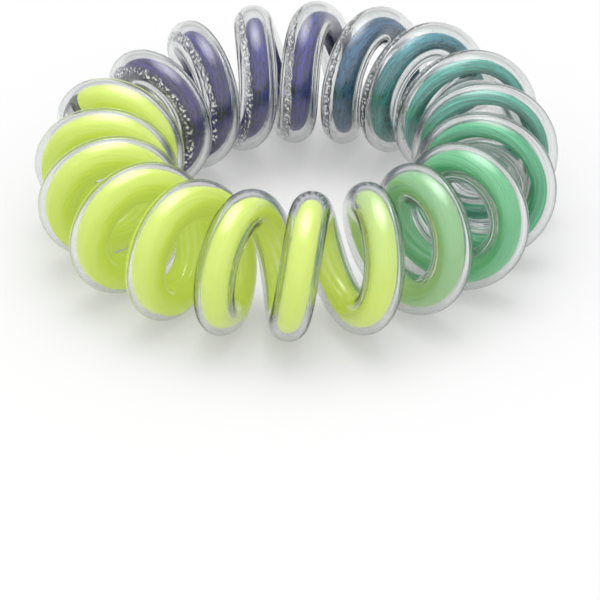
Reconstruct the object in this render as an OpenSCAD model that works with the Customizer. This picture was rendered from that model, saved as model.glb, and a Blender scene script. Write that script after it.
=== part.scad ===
// Spiral hair tie. One clear tube is wound as a coil whose turns run round a ring, and its two
// ends meet there. A thick dyed yarn fills the bore, and a clear plug inside the bore joins the ends.
// The ring lies flat on the plane Z = 0 with its axis along Z.

/* [Tube] */
// Outer diameter of the clear tube
tube_d = 3; // [2.6:0.05:3.4]
// Diameter of the bore that holds the yarn
bore_d = 2.1; // [1.4:0.05:2.2]

/* [Coil] */
// Width of the coil, measured over the tube
coil_d = 11; // [9:0.1:14]
// Gap between neighbouring turns where they crowd round the hole
turn_gap = 0.3; // [0.3:0.05:1.2]

/* [Joint] */
// Length of the plug that joins the two ends of the tube
plug_length = 5; // [3:0.5:8]
// Gap between the two ends of the tube
seam_gap = 0.1; // [0.05:0.05:0.3]
// Empty bore between the plug and each end of the yarn
yarn_end_gap = 0.5; // [0.2:0.1:1.5]

/* [Fit] */
// Clearance all round between the bore and what lies in it
fit_gap = 0.05; // [0.03:0.01:0.1]

/* [Hidden] */

// How each turn strays from an even coil, in the order of the turns, anticlockwise from the back left.
// place: along the ring, as a share of turn_gap. lean: its top along the ring and its bottom the other
// way. push: away from the ring's axis. lift: upwards. These three are shares of coil_r.
PLACE = 0;
LEAN = 1;
PUSH = 2;
LIFT = 3;
turn_table = [
    // place, lean, push, lift
    [ 1.75,  0.05,  0.02,  0.00],
    [ 1.10,  0.00,  0.10,  0.00],
    [ 0.45, -0.10,  0.18,  0.00],
    [-0.20, -0.18,  0.16, -0.04],
    [-0.85, -0.20,  0.06, -0.04],
    [-1.50, -0.15,  0.00, -0.02],
    [-1.20, -0.08,  0.00,  0.00],
    [-0.15, -0.08, -0.04,  0.00],
    [ 0.15, -0.02, -0.12,  0.00],
    [ 0.45, -0.04,  0.06,  0.00],
    [ 0.45,  0.02,  0.05,  0.00],
    [ 0.30,  0.00,  0.10,  0.00],
    [ 0.30,  0.02,  0.22,  0.00],
    [ 0.45,  0.03,  0.20,  0.03],
    [-0.35,  0.05,  0.13,  0.03],
    [-1.05,  0.08,  0.06,  0.02],
    [-1.50,  0.05,  0.00,  0.00],
    [-0.75,  0.04, -0.10,  0.00],
    [ 0.75,  0.05, -0.24, -0.02]
];
turns = len(turn_table);

// The coil's middle radius, the ring's, and the angle between turns
coil_r = (coil_d - tube_d) / 2;
hole_side_r = turns * (tube_d + turn_gap) / (2 * PI);
ring_r = hole_side_r + coil_r;
turn_angle = 360 / turns;
gap_angle = turn_gap / hole_side_r * 180 / PI;
turn_length = sqrt(pow(2 * PI * coil_r, 2) + pow(2 * PI * ring_r / turns, 2));

// Where the first turn starts on the ring, and its row's place in the turn: its top, a quarter on
first_angle = 158;
row_at = 0.25;
// Where the two ends of the tube meet, in turns along the coil
seam_at = 0.02;

// Fineness of the mesh
rings_per_turn = 13;
tube_sides = 12;
bore_sides = 6;
small_step = 0.001;

function unit(v) = v / norm(v);
function blend(a, b, share) = a * (1 - share) + b * share;

// A smooth closed curve through one column of the table, read at t turns along the coil
function curve(p, f) = p[1] + f / 2 * (p[2] - p[0]
    + f * (2 * p[0] - 5 * p[1] + 4 * p[2] - p[3] + f * (3 * (p[1] - p[2]) + p[3] - p[0])));
function stray(column, t) =
    let (u = t - row_at, i = floor(u))
    curve([for (j = [-1:2]) turn_table[(i + j + turns) % turns][column]], u - i);

// The middle of the coil and the middle of the tube, t turns along, before the ring is set down
function ring_angle(t) = first_angle + turn_angle * t + gap_angle * stray(PLACE, t);
function coil_middle(t) =
    let (a = ring_angle(t), r = ring_r + coil_r * stray(PUSH, t))
    [r * cos(a), r * sin(a), coil_r * stray(LIFT, t)];
function tube_middle(t) =
    let (a = ring_angle(t), side = coil_r * stray(LEAN, t) * sin(360 * t))
    coil_middle(t) + coil_r * [cos(a) * cos(360 * t), sin(a) * cos(360 * t), sin(360 * t)]
        + side * [-sin(a), cos(a), 0];

// A section of the tube: its middle, the direction to the middle of the coil, and the one across both
function section(t) =
    let (
        along = unit(tube_middle(t + small_step) - tube_middle(t - small_step)),
        inward = coil_middle(t) - tube_middle(t),
        n = unit(inward - along * (inward * along))
    )
    [tube_middle(t), n, cross(along, n)];
sections = [for (k = [0:rings_per_turn * turns - 1]) section(k / rings_per_turn)];

// A section anywhere on the straight facets between two of the list
function spot(t) =
    let (g = t * rings_per_turn, k = floor(g), count = len(sections))
    blend(sections[(k + count) % count], sections[(k + 1 + count) % count], g - k);
function around(s, r, sides) =
    [for (j = [0:sides - 1]) let (a = 360 * j / sides) s[0] + r * (cos(a) * s[1] + sin(a) * s[2])];

// The coil is set down so that its box is centred on the origin and stands on Z = 0
skin = [for (s = sections) each around(s, tube_d / 2, tube_sides)];
function low(axis) = min([for (v = skin) v[axis]]);
function high(axis) = max([for (v = skin) v[axis]]);
seat = [-(low(0) + high(0)) / 2, -(low(1) + high(1)) / 2, -low(2)];

// Stops along the coil from one place to another, all in turns
function stops(from, to) = concat(
    [from],
    [for (k = [floor(from * rings_per_turn) + 1:ceil(to * rings_per_turn) - 1]) k / rings_per_turn],
    [to]);

// The side walls between rings of points, each with the given number of sides
function walls(rings, sides, first, outward) = [
    for (i = [0:rings - 2], j = [0:sides - 1])
        let (
            a = first + i * sides + j,
            b = first + i * sides + (j + 1) % sides,
            c = b + sides,
            d = a + sides
        )
        each outward ? [[a, c, b], [a, d, c]] : [[a, b, c], [a, c, d]]
];

// The flat ring between the tube's outer circle and its bore, where the tube ends
function rim(outer, inner, facing_back) = [
    for (j = [0:bore_sides - 1])
        let (
            o = [for (m = [0:2]) outer + (2 * j + m) % tube_sides],
            i = [inner + j, inner + (j + 1) % bore_sides]
        )
        each facing_back
            ? [[o[0], o[1], i[0]], [o[1], i[1], i[0]], [o[1], o[2], i[1]]]
            : [[o[1], o[0], i[0]], [i[1], o[1], i[0]], [o[2], o[1], i[1]]]
];

// A solid rod that follows the coil
module rod(from, to, r) {
    list = stops(from, to);
    rings = len(list);
    polyhedron(
        points = [for (t = list) each around(spot(t), r, bore_sides)],
        faces = concat(
            walls(rings, bore_sides, 0, true),
            [[for (j = [0:bore_sides - 1]) j]],
            [[for (j = [bore_sides - 1:-1:0]) (rings - 1) * bore_sides + j]]),
        convexity = 10);
}

// A hollow tube that follows the coil, open at both ends
module pipe(from, to, outer_r, inner_r) {
    list = stops(from, to);
    rings = len(list);
    bore_first = rings * tube_sides;
    polyhedron(
        points = concat(
            [for (t = list) each around(spot(t), outer_r, tube_sides)],
            [for (t = list) each around(spot(t), inner_r, bore_sides)]),
        faces = concat(
            walls(rings, tube_sides, 0, true),
            walls(rings, bore_sides, bore_first, false),
            rim(0, bore_first, true),
            rim((rings - 1) * tube_sides, bore_first + (rings - 1) * bore_sides, false)),
        convexity = 10);
}

// Half the seam, half the plug and the yarn's first point, measured from the seam in turns
half_seam = seam_gap / 2 / turn_length;
half_plug = plug_length / 2 / turn_length;
yarn_start = half_plug + yarn_end_gap / turn_length;
filling_r = bore_d / 2 - fit_gap / cos(180 / bore_sides);

module clear_tube() {
    color([0.88, 0.91, 0.9, 0.45])
        translate(seat)
            pipe(seam_at + half_seam, seam_at + turns - half_seam, tube_d / 2, bore_d / 2);
}

module yarn_core() {
    color("yellowgreen")
        translate(seat)
            rod(seam_at + yarn_start, seam_at + turns - yarn_start, filling_r);
}

module joint_plug() {
    color("gainsboro")
        translate(seat)
            rod(seam_at - half_plug, seam_at + half_plug, filling_r);
}

clear_tube();
yarn_core();
joint_plug();
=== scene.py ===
"""Looks of a spiral hair tie: a clear coiled tube, the dyed yarn in its bore and the plug in its joint."""

import logging
import math
from dataclasses import dataclass, field
from enum import IntEnum
from functools import cached_property

import bpy
import numpy as np
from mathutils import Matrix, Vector


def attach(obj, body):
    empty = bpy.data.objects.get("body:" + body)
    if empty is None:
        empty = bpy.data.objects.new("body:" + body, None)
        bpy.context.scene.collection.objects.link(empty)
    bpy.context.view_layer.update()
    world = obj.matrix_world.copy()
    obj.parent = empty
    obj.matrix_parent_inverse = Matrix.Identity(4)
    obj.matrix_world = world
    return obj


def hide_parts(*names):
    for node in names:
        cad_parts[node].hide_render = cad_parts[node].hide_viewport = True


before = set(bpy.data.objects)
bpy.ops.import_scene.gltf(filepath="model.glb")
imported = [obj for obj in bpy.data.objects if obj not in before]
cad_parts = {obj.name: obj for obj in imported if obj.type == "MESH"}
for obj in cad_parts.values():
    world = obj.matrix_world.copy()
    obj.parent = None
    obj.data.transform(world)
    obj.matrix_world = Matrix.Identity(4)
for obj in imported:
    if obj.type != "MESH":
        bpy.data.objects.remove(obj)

LOG = logging.getLogger("hair_tie")
MM = 0.001

# Straight stock has a radius of 1. Its points merge within the first distance, and a point inside the
# second one is the middle of a closed end.
MERGE_WITHIN = 0.001
END_MIDDLE_WITHIN = 0.5

# The least distance in millimetres that is divided by
LEAST_REACH = 0.001

# The share of a noise's wave that one strand, fleck or speck takes up
HALF_WAVE = 0.5


class Stray(IntEnum):
    """The columns of TURN_TABLE."""

    PLACE = 0
    LEAN = 1
    PUSH = 2
    LIFT = 3


# How each turn strays from an even coil, in the order of the turns, anticlockwise from the back left.
# place: along the ring, as a share of the gap between turns. lean: its top along the ring and its bottom
# the other way. push: away from the ring's axis. lift: upwards. These three are shares of the coil's radius.
TURN_TABLE = (
    # place, lean, push, lift
    (1.75, 0.05, 0.02, 0.00),
    (1.10, 0.00, 0.10, 0.00),
    (0.45, -0.10, 0.18, 0.00),
    (-0.20, -0.18, 0.16, -0.04),
    (-0.85, -0.20, 0.06, -0.04),
    (-1.50, -0.15, 0.00, -0.02),
    (-1.20, -0.08, 0.00, 0.00),
    (-0.15, -0.08, -0.04, 0.00),
    (0.15, -0.02, -0.12, 0.00),
    (0.45, -0.04, 0.06, 0.00),
    (0.45, 0.02, 0.05, 0.00),
    (0.30, 0.00, 0.10, 0.00),
    (0.30, 0.02, 0.22, 0.00),
    (0.45, 0.03, 0.20, 0.03),
    (-0.35, 0.05, 0.13, 0.03),
    (-1.05, 0.08, 0.06, 0.02),
    (-1.50, 0.05, 0.00, 0.00),
    (-0.75, 0.04, -0.10, 0.00),
    (0.75, 0.05, -0.24, -0.02),
)


class Bundle(IntEnum):
    """The columns of YARN_TABLE."""

    PLACE = 0
    WIDTH = 1
    THICKNESS = 2
    INWARD = 3
    BESIDE = 4
    ROOM = 5


# How the yarn lies in the bore, from place to place. place: along the coil, in turns. The rest are in
# millimetres. width: across. thickness: towards the coil's middle. inward: how far its middle lies towards
# the coil's middle. beside: how far it lies across. room: the radius inside which the bore's wall holds it.
YARN_TABLE = (
    # place, width, thickness, inward, beside, room
    (0.00, 2.60, 2.02, 0.07, 0.00, 1.07),
    (4.60, 2.60, 2.02, 0.07, 0.00, 1.07),
    (5.10, 1.98, 1.90, 0.11, 0.00, 1.01),
    (8.40, 1.98, 1.88, 0.10, 0.00, 1.01),
    (9.25, 1.85, 1.45, -0.18, 0.00, 1.02),
    (10.25, 1.45, 1.10, -0.22, 0.00, 1.02),
    (11.25, 1.35, 1.00, -0.32, 0.00, 1.02),
    (12.25, 1.35, 1.05, -0.28, 0.00, 1.02),
    (13.25, 1.55, 1.30, 0.00, 0.06, 1.02),
    (14.25, 1.62, 1.50, 0.10, 0.12, 1.02),
    (15.25, 1.68, 1.60, 0.18, 0.15, 1.02),
    (16.25, 1.72, 1.52, 0.24, 0.15, 1.02),
    (17.25, 1.66, 1.60, 0.12, 0.20, 1.02),
    (18.25, 1.66, 1.60, 0.02, 0.26, 1.02),
    (19.00, 1.66, 1.60, 0.02, 0.26, 1.02),
)


def unit(vectors: np.ndarray) -> np.ndarray:
    """Scales each row to a length of one."""
    return vectors / np.linalg.norm(vectors, axis=1, keepdims=True)


@dataclass(frozen=True)
class Coil:
    """The line that the middle of the tube follows, in millimetres. Places along it are in turns."""

    tube_d: float = 3.0
    coil_d: float = 11.0
    turn_gap: float = 0.3
    first_angle: float = math.radians(158)
    row_at: float = 0.25
    seam_at: float = 0.02
    seam_gap: float = 0.1
    small_step: float = 0.001
    seat_rings_per_turn: int = 72
    seat_sides: int = 36

    @property
    def turns(self) -> int:
        """The number of turns."""
        return len(TURN_TABLE)

    @property
    def coil_r(self) -> float:
        """The radius of one turn, at the tube's middle."""
        return (self.coil_d - self.tube_d) / 2

    @property
    def hole_side_r(self) -> float:
        """The radius at which the turns crowd round the hole."""
        return self.turns * (self.tube_d + self.turn_gap) / (2 * math.pi)

    @property
    def ring_r(self) -> float:
        """The radius of the ring, at the middle of the coil."""
        return self.hole_side_r + self.coil_r

    @property
    def turn_length(self) -> float:
        """The length of tube in one turn."""
        return 2 * math.pi * math.hypot(self.coil_r, self.ring_r / self.turns)

    def stray(self, column: Stray, t: np.ndarray) -> np.ndarray:
        """Reads one column of TURN_TABLE on a smooth closed curve.

        Args:
            column: The column.
            t: Places along the coil, in turns.

        Returns:
            The value at each place.
        """
        rows = np.array(TURN_TABLE)[:, column]
        u = t - self.row_at
        i = np.floor(u).astype(int)
        f = u - i
        p = [rows[(i + j) % self.turns] for j in (-1, 0, 1, 2)]
        bend = 2 * p[0] - 5 * p[1] + 4 * p[2] - p[3] + f * (3 * (p[1] - p[2]) + p[3] - p[0])
        return p[1] + f / 2 * (p[2] - p[0] + f * bend)

    def middles(self, t: np.ndarray) -> tuple[np.ndarray, np.ndarray]:
        """Places the coil and the tube before the ring is set down.

        Args:
            t: Places along the coil, in turns.

        Returns:
            The middle of the coil and the middle of the tube at each place.
        """
        gap_angle = self.turn_gap / self.hole_side_r
        a = self.first_angle + 2 * math.pi / self.turns * t + gap_angle * self.stray(Stray.PLACE, t)
        r = self.ring_r + self.coil_r * self.stray(Stray.PUSH, t)
        turned = 2 * math.pi * t
        out = np.stack([np.cos(a), np.sin(a), np.zeros_like(a)], 1)
        beside = np.stack([-np.sin(a), np.cos(a), np.zeros_like(a)], 1)
        up = np.array([[0.0, 0.0, 1.0]])
        coil = out * r[:, None] + up * (self.coil_r * self.stray(Stray.LIFT, t))[:, None]
        lean = self.coil_r * self.stray(Stray.LEAN, t) * np.sin(turned)
        round_coil = out * np.cos(turned)[:, None] + up * np.sin(turned)[:, None]
        return coil, coil + self.coil_r * round_coil + beside * lean[:, None]

    def sections(self, t: np.ndarray) -> tuple[np.ndarray, np.ndarray, np.ndarray]:
        """Works out the tube's sections.

        Args:
            t: Places along the coil, in turns.

        Returns:
            The tube's middle, the direction to the coil's middle, and the one across both.
        """
        coil, tube = self.middles(t)
        along = unit(self.middles(t + self.small_step)[1] - self.middles(t - self.small_step)[1])
        inward = coil - tube
        n = unit(inward - along * (inward * along).sum(1, keepdims=True))
        return tube, n, np.cross(along, n)

    @cached_property
    def seat(self) -> np.ndarray:
        """Works out what sets the coil down centred on the origin, with its lowest point on Z = 0.

        Returns:
            The move, in millimetres.
        """
        tube, n, across = self.sections(np.arange(0, self.turns, 1 / self.seat_rings_per_turn))
        skin = np.concatenate([
            tube + self.tube_d / 2 * (math.cos(a) * n + math.sin(a) * across)
            for a in np.linspace(0, 2 * math.pi, self.seat_sides, endpoint=False)])
        low, high = skin.min(0), skin.max(0)
        return np.array([-(low[0] + high[0]) / 2, -(low[1] + high[1]) / 2, -low[2]])

    def wind(self, stock: np.ndarray) -> np.ndarray:
        """Winds straight stock on the coil.

        Args:
            stock: The stock's points, N by 3: how far towards the coil's middle and how far across, in
                millimetres, and how far along, in turns.

        Returns:
            The same points on the coil, in metres.
        """
        rings, which = np.unique(stock[:, 2], return_inverse=True)
        middle, n, across = self.sections(rings)
        which = which.ravel()
        return (self.seat + middle[which] + stock[:, :1] * n[which] + stock[:, 1:2] * across[which]) * MM


def ease(x: np.ndarray, start: float, end: float) -> np.ndarray:
    """Rises smoothly from 0 where x is start to 1 where x is end."""
    f = np.clip((x - start) / (end - start), 0, 1)
    return f * f * (3 - 2 * f)


def linear(colour: str) -> tuple[float, float, float, float]:
    """Turns an sRGB hex colour into the linear colour that a shader takes."""
    parts = [int(colour[i:i + 2], 16) / 255 for i in (1, 3, 5)]
    return (*(c / 12.92 if c <= 0.04045 else ((c + 0.055) / 1.055) ** 2.4 for c in parts), 1.0)


def add_node(tree: bpy.types.NodeTree, kind: str, settings: dict | None = None,
             **links: object) -> bpy.types.Node:
    """Adds a node with its settings and its links.

    Args:
        tree: The tree that gets it.
        kind: The node's type.
        settings: Values by name, of the node itself or of one of its input sockets.
        **links: For each input, by its name with _ for a space, the socket that feeds it. A name of in_
            and a number is the input of that number.

    Returns:
        The new node.
    """
    node = tree.nodes.new(kind)
    for name, value in (settings or {}).items():
        if isinstance(name, int) or name in node.inputs:
            node.inputs[name].default_value = value
        else:
            setattr(node, name, value)
    for name, source in links.items():
        key = int(name[3:]) if name.startswith("in_") else name.replace("_", " ")
        tree.links.new(source, node.inputs[key])
    return node


def new_material(name: str) -> tuple[bpy.types.Material, bpy.types.NodeTree]:
    """Starts a material with an empty node tree, whose faint glow isn't treated as a lamp.

    Args:
        name: Its name.

    Returns:
        The material and its tree.
    """
    material = bpy.data.materials.new(name)
    material.use_nodes = True
    material.cycles.emission_sampling = "NONE"
    material.node_tree.nodes.clear()
    return material, material.node_tree


def fill_ramp(ramp: bpy.types.ColorRamp, stops: tuple[tuple[float, str], ...]) -> None:
    """Gives a colour ramp its stops.

    Args:
        ramp: The ramp.
        stops: For each stop, its place from 0 to 1 and its sRGB hex colour.
    """
    while len(ramp.elements) < len(stops):
        ramp.elements.new(1.0)
    for element, (place, colour) in zip(ramp.elements, stops):
        element.position = place
        element.color = linear(colour)


@dataclass(frozen=True)
class FrostedStreak:
    """A ragged band of small bubbles on the bore's wall, where the yarn has rubbed it.

    The eye sees it as grey and white specks, and the white ones have a painted glow. They are drawn coarser
    than the real bubbles, which are too fine to show. Places along the coil are in turns.
    """

    angle: float = math.radians(-137)
    half_width: float = math.radians(13)
    begins: float = 11.5
    full: float = 12.5

    # How far it turns round the bore, and between which places
    drift: float = math.radians(27)
    drift_from: float = 15.0
    drift_full: float = 18.5

    # Its edge, which sways slowly and is ragged
    sway_stretch: tuple[float, float, float] = (0.05, 0.05, 0.35)
    ragged_per_mm: float = 2.2
    edge_detail: float = 3.0
    raggedness: float = 0.1
    fade_outside: float = 0.02
    fade_inside: float = 0.03

    # Its bubbles, with the levels of the noise between which they turn milky and take on a painted glow
    speck_mm: float = 0.1
    speck_depth_mm: float = 0.1
    speck_detail: float = 2.0
    speck_from: float = 0.53
    speck_full: float = 0.59
    speck_clearness: float = 0.2
    painted_speck_glow: float = 0.45
    roughness: float = 0.1

    def mark(self, tree: bpy.types.NodeTree, stock: bpy.types.Node, coil: Coil) -> bpy.types.NodeSocket:
        """Marks the frosted streak on the bore's wall.

        Args:
            tree: The material's tree.
            stock: The node that reads where a point lay in the straight stock.
            coil: The coil.

        Returns:
            A socket that is 1 in the streak and 0 elsewhere.
        """
        bore = add_node(tree, "ShaderNodeAttribute", {"attribute_name": "bore"})
        parts = add_node(tree, "ShaderNodeSeparateXYZ", Vector=stock.outputs["Vector"])

        # Which way the point lies from the tube's middle, turned back by the streak's drift
        flat = add_node(tree, "ShaderNodeVectorMath", {"operation": "MULTIPLY", 1: (1, 1, 0)},
                        in_0=stock.outputs["Vector"])
        out = add_node(tree, "ShaderNodeVectorMath", {"operation": "NORMALIZE"}, in_0=flat.outputs["Vector"])
        drift = add_node(tree, "ShaderNodeMapRange", {
            "From Min": self.drift_from * coil.turn_length, "From Max": self.drift_full * coil.turn_length,
            "To Max": -self.drift}, Value=parts.outputs["Z"])
        out = add_node(tree, "ShaderNodeVectorRotate", {"rotation_type": "Z_AXIS"},
                       Vector=out.outputs["Vector"], Angle=drift.outputs[0])
        aim = (math.cos(self.angle), math.sin(self.angle), 0)
        near = add_node(tree, "ShaderNodeVectorMath", {"operation": "DOT_PRODUCT", 1: aim},
                        in_0=out.outputs["Vector"])

        # The streak's edge sways slowly and is ragged. Both noises together come to 1 on average.
        slow = add_node(tree, "ShaderNodeMapping", {"Scale": self.sway_stretch},
                        Vector=stock.outputs["Vector"])
        sway = add_node(tree, "ShaderNodeTexNoise", {"Scale": 1.0, "Detail": self.edge_detail},
                        Vector=slow.outputs["Vector"])
        ragged = add_node(tree, "ShaderNodeTexNoise", {
            "Scale": self.ragged_per_mm, "Detail": self.edge_detail}, Vector=stock.outputs["Vector"])
        uneven = add_node(tree, "ShaderNodeMath", {"operation": "ADD"}, in_0=sway.outputs["Fac"],
                          in_1=ragged.outputs["Fac"])
        near = add_node(tree, "ShaderNodeMath", {"operation": "MULTIPLY_ADD", 1: self.raggedness},
                        in_0=uneven.outputs[0], in_2=near.outputs["Value"])
        edge = math.cos(self.half_width) + self.raggedness
        inside = add_node(tree, "ShaderNodeMapRange", {
            "From Min": edge - self.fade_outside, "From Max": edge + self.fade_inside},
            Value=near.outputs[0])

        along = add_node(tree, "ShaderNodeMapRange", {
            "From Min": self.begins * coil.turn_length, "From Max": self.full * coil.turn_length},
            Value=parts.outputs["Z"])
        for share in (along.outputs[0], bore.outputs["Fac"]):
            inside = add_node(tree, "ShaderNodeMath", {"operation": "MULTIPLY"}, in_0=inside.outputs[0],
                              in_1=share)
        return inside.outputs[0]


@dataclass(frozen=True)
class ClearPolyurethane:
    """Thermoplastic polyurethane, clear, extruded and wound warm for the tube and moulded for the plug.

    It is glossy with faint waves, and its thick wall bends what lies behind it, so that the eye sees pale
    rims with thin dark lines.
    """

    ior: float = 1.5
    roughness: float = 0.02
    absorbed: str = "#D8DCDB"
    density_per_mm: float = 0.78
    wave_mm: float = 1.4
    wave_depth_mm: float = 0.012
    wave_stretch: tuple[float, float, float] = (1, 1, 0.35)
    wave_detail: float = 2.0
    streak: FrostedStreak = field(default_factory=FrostedStreak)

    def build(self, name: str, coil: Coil) -> bpy.types.Material:
        """Makes the material.

        Args:
            name: Its name.
            coil: The coil, along which the streak runs.

        Returns:
            The material.
        """
        material, tree = new_material(name)
        streak = self.streak
        stock = add_node(tree, "ShaderNodeAttribute", {"attribute_name": "stock"})
        stretch = add_node(tree, "ShaderNodeMapping", {"Scale": self.wave_stretch},
                           Vector=stock.outputs["Vector"])
        waves = add_node(tree, "ShaderNodeTexNoise", {"Scale": 1 / self.wave_mm, "Detail": self.wave_detail},
                         Vector=stretch.outputs["Vector"])
        swell = add_node(tree, "ShaderNodeBump", {"Strength": 1.0, "Distance": self.wave_depth_mm * MM},
                         Height=waves.outputs["Fac"])
        frosted = streak.mark(tree, stock, coil)
        specks = add_node(tree, "ShaderNodeTexNoise", {
            "Scale": HALF_WAVE / streak.speck_mm, "Detail": streak.speck_detail},
            Vector=stock.outputs["Vector"])
        raised = add_node(tree, "ShaderNodeMath", {"operation": "MULTIPLY"}, in_0=specks.outputs["Fac"],
                          in_1=frosted)
        bump = add_node(tree, "ShaderNodeBump", {"Strength": 1.0, "Distance": streak.speck_depth_mm * MM},
                        Height=raised.outputs[0], Normal=swell.outputs["Normal"])
        roughness = add_node(tree, "ShaderNodeMapRange", {
            "To Min": self.roughness, "To Max": streak.roughness}, Value=frosted)
        bright = add_node(tree, "ShaderNodeMapRange", {
            "From Min": streak.speck_from, "From Max": streak.speck_full}, Value=specks.outputs["Fac"])
        milky = add_node(tree, "ShaderNodeMath", {"operation": "MULTIPLY"}, in_0=bright.outputs[0],
                         in_1=frosted)
        clearness = add_node(tree, "ShaderNodeMapRange", {"To Min": 1.0, "To Max": streak.speck_clearness},
                             Value=milky.outputs[0])
        # Painted glow of the milky specks
        painted_speck_light = add_node(tree, "ShaderNodeVectorMath", {"operation": "SCALE", 0: (streak.painted_speck_glow,) * 3},
                         Scale=milky.outputs[0])
        shader = add_node(tree, "ShaderNodeBsdfPrincipled", {
            "Base Color": (1, 1, 1, 1), "IOR": self.ior, "Emission Strength": 1.0},
            Transmission_Weight=clearness.outputs[0], Emission_Color=painted_speck_light.outputs["Vector"],
            Roughness=roughness.outputs[0], Normal=bump.outputs["Normal"])
        body = add_node(tree, "ShaderNodeVolumeAbsorption", {
            "Color": linear(self.absorbed), "Density": self.density_per_mm / MM})
        add_node(tree, "ShaderNodeOutputMaterial", Surface=shader.outputs["BSDF"],
                 Volume=body.outputs["Volume"])
        return material


@dataclass(frozen=True)
class DyedYarn:
    """Rayon filament yarn, dyed in one run of colours and laid with little twist.

    Its strands lie nearly straight, so that the eye sees silky patches of light that run across them. Where
    the bundle is loose, painted shade darkens the grooves and dark flecks between the strands. Strands and
    flecks are drawn coarser than the real filaments, which are too fine to show. The yellow stretch fills the
    bore, so its strands show little, and it has a painted glow. Places along the coil are in turns.
    """

    # The strands and how far they stand out, which is less where they are packed
    strand_mm: float = 0.08
    strand_relief_mm: float = 0.17
    strand_stretch: tuple[float, float, float] = (1, 1, 0.03)
    strand_detail: float = 2.5
    twist_per_mm: float = 0.15
    packed_relief: float = 0.3
    relief_from: float = 7.5
    relief_full: float = 10.0

    # How the dye took from strand to strand: levels of the noise and the shades that they give
    dye_seed: float = 3.0
    dye_detail: float = 2.0
    dye_noise: tuple[float, float] = (0.35, 0.65)
    dye_shade: tuple[float, float] = (0.6, 1.45)

    # The flecks of painted shade between the strands, which grow darker between two places, and the painted
    # shade of the grooves
    fleck_stretch: tuple[float, float, float] = (1, 1, 0.4)
    fleck_detail: float = 1.5
    fleck_noise: tuple[float, float] = (0.55, 0.6)
    painted_fleck_shade: tuple[float, float] = (1.0, 0.15)
    flecks_from: float = 11.0
    flecks_full: float = 15.0
    groove_from: float = 0.4
    painted_groove_shade: float = 0.6

    # Where the dye's unevenness and the painted shade in grooves and flecks set in
    loose_from: float = 9.0
    loose_full: float = 10.6

    # The painted glow of the imported stretch
    glow: float = 0.5
    painted_glow_until: float = 7.5
    painted_glow_gone: float = 11.0

    # The filaments' own surface
    ior: float = 1.7
    roughness: float = 0.38
    specular_level: float = 0.5
    anisotropy: float = 0.6

    # The run of colours
    shades: tuple[tuple[float, str], ...] = (
        # turn, colour
        (0.0, "#CCE05A"),
        (7.0, "#CCE05A"),
        (7.25, "#B0CE76"),
        (8.0, "#8CBC7E"),
        (8.6, "#70BE82"),
        (9.25, "#62C888"),
        (10.25, "#4CCC90"),
        (11.25, "#58D2B8"),
        (12.25, "#5AD0BE"),
        (13.2, "#44AEC4"),
        (13.6, "#30A89C"),
        (14.05, "#3078B0"),
        (14.5, "#2474A4"),
        (14.9, "#2A4AA8"),
        (15.4, "#2C2CA8"),
        (17.2, "#2C2498"),
        (18.2, "#382290"),
        (19.0, "#3E2488"),
    )

    def build(self, coil: Coil) -> bpy.types.Material:
        """Makes the yarn's material.

        Args:
            coil: The coil, whose turns the colours follow.

        Returns:
            The material.
        """
        material, tree = new_material("dyed_yarn")
        stock = add_node(tree, "ShaderNodeAttribute", {"attribute_name": "stock"})
        parts = add_node(tree, "ShaderNodeSeparateXYZ", Vector=stock.outputs["Vector"])
        turned = add_node(tree, "ShaderNodeMath", {"operation": "MULTIPLY", 1: -self.twist_per_mm},
                          in_0=parts.outputs["Z"])
        straight = add_node(tree, "ShaderNodeVectorRotate", {"rotation_type": "Z_AXIS"},
                            Vector=stock.outputs["Vector"], Angle=turned.outputs[0])
        stretch = add_node(tree, "ShaderNodeMapping", {"Scale": self.strand_stretch},
                           Vector=straight.outputs["Vector"])
        place = add_node(tree, "ShaderNodeMath", {
            "operation": "DIVIDE", 1: coil.turn_length * coil.turns}, in_0=parts.outputs["Z"])
        run = add_node(tree, "ShaderNodeValToRGB", Fac=place.outputs[0])
        fill_ramp(run.color_ramp, tuple((turn / coil.turns, colour) for turn, colour in self.shades))

        # The strands' relief, low where the bundle is packed
        strands = add_node(tree, "ShaderNodeTexNoise", {
            "Scale": HALF_WAVE / self.strand_mm, "Detail": self.strand_detail},
            Vector=stretch.outputs["Vector"])
        relief = add_node(tree, "ShaderNodeMapRange", {
            "From Min": self.relief_from / coil.turns, "From Max": self.relief_full / coil.turns,
            "To Min": self.packed_relief}, Value=place.outputs[0])
        raised = add_node(tree, "ShaderNodeMath", {"operation": "MULTIPLY"}, in_0=strands.outputs["Fac"],
                          in_1=relief.outputs[0])
        bump = add_node(tree, "ShaderNodeBump", {"Strength": 1.0, "Distance": self.strand_relief_mm * MM},
                        Height=raised.outputs[0])

        # The dye's colour, uneven from strand to strand, with painted shade in the grooves and flecks where
        # it is loose
        depth = self.shade_strands(tree, stretch, straight, place, coil)
        loose = add_node(tree, "ShaderNodeMapRange", {
            "From Min": self.loose_from / coil.turns, "From Max": self.loose_full / coil.turns},
            Value=place.outputs[0])
        shade = add_node(tree, "ShaderNodeMix", {"data_type": "FLOAT", "A": 1.0}, Factor=loose.outputs[0],
                         B=depth)
        colour = add_node(tree, "ShaderNodeVectorMath", {"operation": "SCALE"}, Vector=run.outputs["Color"],
                          Scale=shade.outputs[0])
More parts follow.
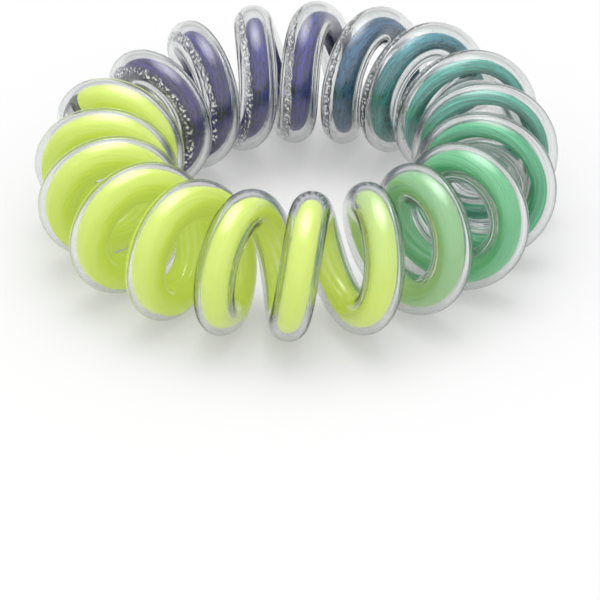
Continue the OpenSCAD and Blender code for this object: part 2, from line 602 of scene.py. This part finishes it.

        # Painted glow: the imported stretch glows a little, in place of the light that the clear wall round
        # it gathers
        glow = add_node(tree, "ShaderNodeMapRange", {
            "From Min": self.painted_glow_until / coil.turns, "From Max": self.painted_glow_gone / coil.turns,
            "To Min": self.glow, "To Max": 0.0}, Value=place.outputs[0])
        # The colour of the painted glow
        lit = add_node(tree, "ShaderNodeVectorMath", {"operation": "SCALE"}, Vector=run.outputs["Color"],
                       Scale=glow.outputs[0])
        tangent = add_node(tree, "ShaderNodeTangent", {"direction_type": "UV_MAP", "uv_map": "UVMap"})
        shader = add_node(tree, "ShaderNodeBsdfPrincipled", {
            "Roughness": self.roughness, "IOR": self.ior, "Emission Strength": 1.0,
            "Specular IOR Level": self.specular_level, "Anisotropic": self.anisotropy},
            Base_Color=colour.outputs["Vector"], Emission_Color=lit.outputs["Vector"],
            Normal=bump.outputs["Normal"], Tangent=tangent.outputs["Tangent"])
        add_node(tree, "ShaderNodeOutputMaterial", Surface=shader.outputs["BSDF"])
        return material

    def shade_strands(self, tree: bpy.types.NodeTree, stretch: bpy.types.Node, straight: bpy.types.Node,
                      place: bpy.types.Node, coil: Coil) -> bpy.types.NodeSocket:
        """Works out how much paler or darker than the dye each spot of the loose bundle is: the dye's own
        unevenness, and painted shade in the grooves and flecks.

        Args:
            tree: The material's tree.
            stretch: The node that draws the pattern out along the strands.
            straight: The node that gives a point's place in the bundle before it was twisted.
            place: The node that gives the share of the yarn that lies before a point.
            coil: The coil.

        Returns:
            A socket with what the colour is multiplied by.
        """
        uneven = add_node(tree, "ShaderNodeTexNoise", {
            "noise_dimensions": "4D", "W": self.dye_seed, "Scale": HALF_WAVE / self.strand_mm,
            "Detail": self.dye_detail}, Vector=stretch.outputs["Vector"])
        depth = add_node(tree, "ShaderNodeMapRange", {
            "From Min": self.dye_noise[0], "From Max": self.dye_noise[1],
            "To Min": self.dye_shade[0], "To Max": self.dye_shade[1]}, Value=uneven.outputs["Fac"])
        # Painted shade in the grooves between the strands, darker where they are deeper
        groove = add_node(tree, "ShaderNodeAttribute", {"attribute_name": "groove"})
        painted_groove_darkening = add_node(tree, "ShaderNodeMapRange", {
            "From Min": self.groove_from, "From Max": 1.0, "To Min": 1.0, "To Max": self.painted_groove_shade},
            Value=groove.outputs["Fac"])
        # Painted shade in dark flecks between the strands, darker towards the back turns
        short = add_node(tree, "ShaderNodeMapping", {"Scale": self.fleck_stretch},
                         Vector=straight.outputs["Vector"])
        flecks = add_node(tree, "ShaderNodeTexNoise", {
            "Scale": HALF_WAVE / self.strand_mm, "Detail": self.fleck_detail},
            Vector=short.outputs["Vector"])
        painted_fleck_darkest = add_node(tree, "ShaderNodeMapRange", {
            "From Min": self.flecks_from / coil.turns, "From Max": self.flecks_full / coil.turns,
            "To Min": self.painted_fleck_shade[0], "To Max": self.painted_fleck_shade[1]}, Value=place.outputs[0])
        painted_fleck_shading = add_node(tree, "ShaderNodeMapRange", {
            "From Min": self.fleck_noise[0], "From Max": self.fleck_noise[1], "To Min": 1.0},
            Value=flecks.outputs["Fac"], To_Max=painted_fleck_darkest.outputs[0])
        for dimmer in (painted_groove_darkening, painted_fleck_shading):
            depth = add_node(tree, "ShaderNodeMath", {"operation": "MULTIPLY"}, in_0=depth.outputs[0],
                             in_1=dimmer.outputs[0])
        return depth.outputs[0]


@dataclass(frozen=True)
class LightTable:
    """Matt white acrylic, cast and sanded, lit a little from below, so that it stays pale under the tie."""

    colour: str = "#A0A0A0"
    glow: float = 0.4
    roughness: float = 0.9
    specular_level: float = 0.1

    def build(self) -> bpy.types.Material:
        """Makes the acrylic's material.

        Returns:
            The material.
        """
        material, tree = new_material("white_acrylic")
        shader = add_node(tree, "ShaderNodeBsdfPrincipled", {
            "Base Color": linear(self.colour), "Roughness": self.roughness,
            "Specular IOR Level": self.specular_level, "Emission Color": (1, 1, 1, 1),
            "Emission Strength": self.glow})
        add_node(tree, "ShaderNodeOutputMaterial", Surface=shader.outputs["BSDF"])
        return material


def apply_modifier(piece: bpy.types.Object, kind: str, **settings: object) -> None:
    """Adds a modifier to the active piece, sets it and applies it.

    Args:
        piece: The piece.
        kind: The modifier's type.
        **settings: Its settings.
    """
    modifier = piece.modifiers.new(kind.lower(), kind)
    for name, value in settings.items():
        setattr(modifier, name, value)
    bpy.ops.object.modifier_apply(modifier=modifier.name)


def straight_stock(name: str, sides: int, rings: int) -> bpy.types.Object:
    """Models an open length of round stock, straight, of radius 1, that stands on the origin along Z.

    Args:
        name: The piece's name.
        sides: Faces round it.
        rings: Rings of points along it, one at each whole number from 0.

    Returns:
        The piece.
    """
    bpy.ops.object.select_all(action="DESELECT")
    bpy.ops.mesh.primitive_cylinder_add(vertices=sides, radius=1, depth=1, end_fill_type="NOTHING",
                                        location=(0, 0, 0.5))
    piece = bpy.context.object
    piece.name = piece.data.name = name
    bpy.ops.object.transform_apply(location=True, rotation=False, scale=False)
    apply_modifier(piece, "ARRAY", count=rings - 1, use_relative_offset=False, use_constant_offset=True,
                   constant_offset_displace=(0, 0, 1), use_merge_vertices=True, merge_threshold=MERGE_WITHIN)
    return piece


def points_of(piece: bpy.types.Object) -> np.ndarray:
    """Reads a mesh's points.

    Args:
        piece: The piece.

    Returns:
        The points, N by 3.
    """
    flat = np.empty(len(piece.data.vertices) * 3)
    piece.data.vertices.foreach_get("co", flat)
    return flat.reshape(-1, 3)


def close_ends(piece: bpy.types.Object) -> None:
    """Closes the open ends of straight stock, each with a fan of faces.

    Args:
        piece: The piece, which is the active one.
    """
    bpy.ops.object.mode_set(mode="EDIT")
    bpy.ops.mesh.select_mode(type="VERT")
    bpy.ops.mesh.select_all(action="DESELECT")
    bpy.ops.mesh.select_non_manifold()
    bpy.ops.mesh.fill_holes(sides=0)
    bpy.ops.mesh.select_all(action="DESELECT")
    bpy.ops.object.mode_set(mode="OBJECT")
    for face in piece.data.polygons:
        # The faces round the stock have four corners, and the two that close it have more
        face.select = len(face.vertices) > 4
    bpy.ops.object.mode_set(mode="EDIT")
    bpy.ops.mesh.select_mode(type="FACE")
    bpy.ops.mesh.poke()
    bpy.ops.object.mode_set(mode="OBJECT")


def keep_on_points(piece: bpy.types.Object, name: str, values: np.ndarray) -> None:
    """Keeps a number for each point of a piece, for its material to read.

    Args:
        piece: The piece.
        name: The name by which the material asks for it.
        values: The numbers, in the order of the points.
    """
    kept = piece.data.attributes.new(name, "FLOAT", "POINT")
    kept.data.foreach_set("value", values.astype(np.float32))


def wind_piece(piece: bpy.types.Object, coil: Coil, stock: np.ndarray, sharp_angle: float) -> None:
    """Winds a straight piece on the coil, smooth, and keeps where each point lay in the straight stock.

    Args:
        piece: The piece.
        coil: The coil.
        stock: The piece's points as Coil.wind takes them.
        sharp_angle: The angle past which an edge stays sharp.
    """
    straight = stock * (1, 1, coil.turn_length)
    kept = piece.data.attributes.new("stock", "FLOAT_VECTOR", "POINT")
    kept.data.foreach_set("vector", straight.ravel().astype(np.float32))
    piece.data.vertices.foreach_set("co", coil.wind(stock).ravel())
    piece.data.update()
    bpy.ops.object.shade_smooth_by_angle(angle=sharp_angle)


@dataclass
class ClearTube:
    """The clear tube: its outer skin, its bore and its two cut ends."""

    coil: Coil
    sides: int = 36
    rings_per_turn: int = 60
    bore_d: float = 2.1
    stock_wall: float = 0.5
    sharp_angle: float = math.radians(40)
    finish: ClearPolyurethane = field(default_factory=ClearPolyurethane)

    def build(self) -> bpy.types.Object:
        """Models the tube straight, gives it its bore and winds it.

        Returns:
            The piece.
        """
        coil = self.coil
        rings = self.rings_per_turn * coil.turns
        piece = straight_stock("clear_sleeve", self.sides, rings + 1)
        apply_modifier(piece, "SOLIDIFY", thickness=self.stock_wall, offset=-1)
        points = points_of(piece)
        half_seam = coil.seam_gap / 2 / coil.turn_length
        share = np.round(points[:, 2]) / rings
        t = coil.seam_at + half_seam + share * (coil.turns - 2 * half_seam)
        radius = np.hypot(points[:, 0], points[:, 1])
        outer = radius > 1 - self.stock_wall / 2
        size = np.where(outer, coil.tube_d, self.bore_d) / 2 / radius
        stock = np.stack([points[:, 0] * size, points[:, 1] * size, t], 1)
        keep_on_points(piece, "bore", ~outer)
        wind_piece(piece, coil, stock, self.sharp_angle)
        piece.data.materials.append(self.finish.build("clear_polyurethane", coil))
        return piece


@dataclass
class YarnCore:
    """The dyed yarn, pressed against the bore's wall up to the front turns and loose at the back.

    On the turns between, it is a little narrower than the bore. The loose stretch is thin and lies off the
    bore's middle, with grooves between its strands.
    """

    coil: Coil
    start: float = 0.15
    end: float = 18.905
    loose_from: float = 8.6
    loose_full: float = 10.2
    rings_per_turn: int = 50

    # The strands. Where the waves meet, round the yarn and along it, a strand stands out most.
    strands: int = 22
    sides_per_strand: int = 4
    strand_depth: float = 0.07
    least_height: float = 0.6
    swell_waves: tuple[tuple[float, float], ...] = ((3, 9.1), (7, -5.3))

    # How far the loose stretch wanders across the bore, and how fast
    wander: float = 0.05
    wander_per_turn: float = 2.7

    # Its surface
    sharp_angle: float = math.radians(50)
    finish: DyedYarn = field(default_factory=DyedYarn)

    def build(self) -> bpy.types.Object:
        """Models the yarn straight, presses its strands into its side and winds it.

        Returns:
            The piece.
        """
        coil = self.coil
        rings = self.rings_per_turn * coil.turns
        piece = straight_stock("yarn", self.strands * self.sides_per_strand, rings + 1)
        close_ends(piece)
        points = points_of(piece)
        t = self.start + points[:, 2] / rings * (self.end - self.start)
        angle = np.arctan2(points[:, 1], points[:, 0])
        centre = np.hypot(points[:, 0], points[:, 1]) < END_MIDDLE_WITHIN
        groove = self.grooves(t, angle)
        middle, outline = self.section(t, angle)
        reach = np.where(centre, 0, 1 - self.strand_depth * groove)
        stock = np.column_stack([middle + (outline - middle) * reach[:, None], t])
        keep_on_points(piece, "groove", groove)
        wind_piece(piece, coil, stock, self.sharp_angle)
        piece.data.materials.append(self.finish.build(coil))
        return piece

    def grooves(self, t: np.ndarray, angle: np.ndarray) -> np.ndarray:
        """Works out the grooves between the strands, which the loose stretch alone has.

        Args:
            t: Places along the coil, in turns.
            angle: The direction of each point from the yarn's middle.

        Returns:
            How deep the groove is at each point, from 0 to 1.
        """
        strand = angle - self.finish.twist_per_mm * t * self.coil.turn_length
        lobe = (1 + np.cos(self.strands * strand)) / 2
        waves = [np.sin(lobes * strand + along * t) for lobes, along in self.swell_waves]
        swell = (1 + np.prod(waves, axis=0)) / 2
        raised = lobe * (self.least_height + (1 - self.least_height) * swell)
        return ease(t, self.loose_from, self.loose_full) * (1 - raised)

    def section(self, t: np.ndarray, angle: np.ndarray) -> tuple[np.ndarray, np.ndarray]:
        """Shapes the yarn's section: an oval that the bore's wall presses in where it meets it.

        Args:
            t: Places along the coil, in turns.
            angle: The direction of each point from the oval's middle.

        Returns:
            The oval's middle and the point on its side, in millimetres.
        """
        table = np.array(YARN_TABLE)
        value = {column: np.interp(t, table[:, Bundle.PLACE], table[:, column]) for column in Bundle}
        wander = self.wander * np.sin(self.wander_per_turn * t) * ease(t, self.loose_from, self.loose_full)
        middle = np.stack([value[Bundle.INWARD], value[Bundle.BESIDE] + wander], 1)
        half = np.stack([value[Bundle.THICKNESS] * np.cos(angle), value[Bundle.WIDTH] * np.sin(angle)], 1) / 2
        outline = middle + half
        reach = np.maximum(np.hypot(outline[:, 0], outline[:, 1]), LEAST_REACH)
        return middle, outline * np.minimum(1, value[Bundle.ROOM] / reach)[:, None]


@dataclass
class JointPlug:
    """The clear moulded plug that holds the tube's two ends together."""

    coil: Coil
    tube: ClearTube
    sides: int = 32
    rings: int = 24
    length: float = 5.0
    fit_gap: float = 0.05
    sharp_angle: float = math.radians(50)
    finish: ClearPolyurethane = field(default_factory=ClearPolyurethane)

    def build(self) -> bpy.types.Object:
        """Models the plug straight and winds it.

        Returns:
            The piece.
        """
        coil = self.coil
        piece = straight_stock("plug", self.sides, self.rings + 1)
        close_ends(piece)
        points = points_of(piece)
        t = coil.seam_at + (points[:, 2] / self.rings - 0.5) * self.length / coil.turn_length
        radius = self.tube.bore_d / 2 - self.fit_gap
        stock = np.stack([points[:, 0] * radius, points[:, 1] * radius, t], 1)
        wind_piece(piece, coil, stock, self.sharp_angle)
        piece.data.materials.append(self.finish.build("moulded_polyurethane", coil))
        return piece


@dataclass
class Studio:
    """The camera, the pale floor and the soft light."""

    # The camera. The sizes in pixels are those of the photograph.
    elevation: float = math.radians(31.2)
    distance: float = 0.380
    focal_px: float = 5050.0
    frame_px: float = 600.0
    ring_px: tuple[float, float] = (298.0, 167.0)
    sensor_mm: float = 36.0
    clip_start: float = 0.01

    # The floor
    floor_size: float = 3.0
    floor_finish: LightTable = field(default_factory=LightTable)

    # The softbox above the tie
    key_place: tuple[float, float, float] = (0.0, 0.13, 0.485)
    key_size: tuple[float, float] = (0.70, 0.70)
    key_power: float = 1.05
    key_spread: float = math.radians(70)

    # The light all round: its strength low and high, and its share behind and in front
    low_sky: float = 0.85
    high_sky: float = 1.05
    high_from: float = 0.4
    back_share: float = 0.8
    front_share: float = 1.25

    # How often light may turn
    clear_bounces: int = 16
    glossy_bounces: int = 6
    matt_bounces: int = 3

    def place_camera(self, centre: Vector) -> bpy.types.Object:
        """Puts the camera at the photograph's angle, with the ring's middle at its place in the frame.

        Args:
            centre: The middle of the ring.

        Returns:
            The camera.
        """
        towards = Vector((0, math.cos(self.elevation), -math.sin(self.elevation)))
        right = Vector((1, 0, 0))
        up = right.cross(towards)
        per_px = self.distance / self.focal_px
        aim = (centre + right * (self.frame_px / 2 - self.ring_px[0]) * per_px
               + up * (self.ring_px[1] - self.frame_px / 2) * per_px)
        camera = bpy.data.objects.new("camera", bpy.data.cameras.new("camera"))
        bpy.context.scene.collection.objects.link(camera)
        camera.location = centre - towards * self.distance
        camera.rotation_euler = (aim - camera.location).to_track_quat("-Z", "Y").to_euler()
        camera.data.sensor_width = self.sensor_mm
        camera.data.lens = self.focal_px / self.frame_px * self.sensor_mm
        camera.data.clip_start = self.clip_start
        bpy.context.scene.camera = camera
        return camera

    def lay_floor(self) -> bpy.types.Object:
        """Lays the pale floor under the tie.

        Returns:
            The floor.
        """
        bpy.ops.object.select_all(action="DESELECT")
        bpy.ops.mesh.primitive_plane_add(size=self.floor_size)
        floor = bpy.context.object
        floor.name = "floor"
        floor.data.materials.append(self.floor_finish.build())
        return floor

    def hang_softbox(self) -> bpy.types.Object:
        """Hangs the softbox that faces the tie, with a grid that softens the edge of its light.

        Returns:
            The light.
        """
        light = bpy.data.lights.new("key_softbox", "AREA")
        light.shape = "RECTANGLE"
        light.size, light.size_y = self.key_size
        light.energy = self.key_power
        light.spread = self.key_spread
        lamp = bpy.data.objects.new("key_softbox", light)
        bpy.context.scene.collection.objects.link(lamp)
        place = Vector(self.key_place)
        lamp.location = place
        lamp.rotation_euler = (-place).to_track_quat("-Z", "Y").to_euler()
        return lamp

    def light(self) -> None:
        """Lights the tie from above and a little behind, with a soft fill all round, brighter in front."""
        self.hang_softbox()
        world = bpy.data.worlds.new("studio")
        world.use_nodes = True
        tree = world.node_tree
        tree.nodes.clear()
        sky = add_node(tree, "ShaderNodeTexCoord")
        way = add_node(tree, "ShaderNodeSeparateXYZ", Vector=sky.outputs["Generated"])
        dome = add_node(tree, "ShaderNodeMapRange", {
            "From Min": 0.0, "From Max": self.high_from, "To Min": self.low_sky, "To Max": self.high_sky,
            "interpolation_type": "SMOOTHSTEP"}, Value=way.outputs["Z"])
        front = add_node(tree, "ShaderNodeMapRange", {
            "From Min": 1.0, "From Max": -1.0, "To Min": self.back_share, "To Max": self.front_share},
            Value=way.outputs["Y"])
        glow = add_node(tree, "ShaderNodeMath", {"operation": "MULTIPLY"}, in_0=dome.outputs[0],
                        in_1=front.outputs[0])
        back = add_node(tree, "ShaderNodeBackground", {"Color": (1, 1, 1, 1)}, Strength=glow.outputs[0])
        add_node(tree, "ShaderNodeOutputWorld", Surface=back.outputs["Background"])
        bpy.context.scene.world = world

    def let_light_through(self) -> None:
        """Lets light pass the many clear walls that lie behind each other."""
        cycles = bpy.context.scene.cycles
        cycles.max_bounces = self.clear_bounces
        cycles.transmission_bounces = self.clear_bounces
        cycles.glossy_bounces = self.glossy_bounces
        cycles.diffuse_bounces = self.matt_bounces


def show(piece: bpy.types.Object, node: str) -> None:
    """Puts a finished piece on the body in the place of a solid.

    Args:
        piece: The piece.
        node: The solid that it stands for.
    """
    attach(piece, "root")
    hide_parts(node)
    LOG.info("%s: %d faces, in place of %s", piece.name, len(piece.data.polygons), node)


def main() -> None:
    """Builds the tie and its studio, and logs how many faces each finished piece has."""
    logging.basicConfig(level=logging.INFO, format="%(message)s")
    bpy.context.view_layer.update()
    coil = Coil()
    tube = ClearTube(coil)
    studio = Studio()
    bpy.context.scene.view_settings.view_transform = "Standard"
    studio.place_camera(Vector(coil.seat * MM))
    studio.lay_floor()
    studio.light()
    studio.let_light_through()
    show(tube.build(), "clear_tube")
    show(YarnCore(coil).build(), "yarn_core")
    show(JointPlug(coil, tube).build(), "joint_plug")


if __name__ == "__main__":
    main()
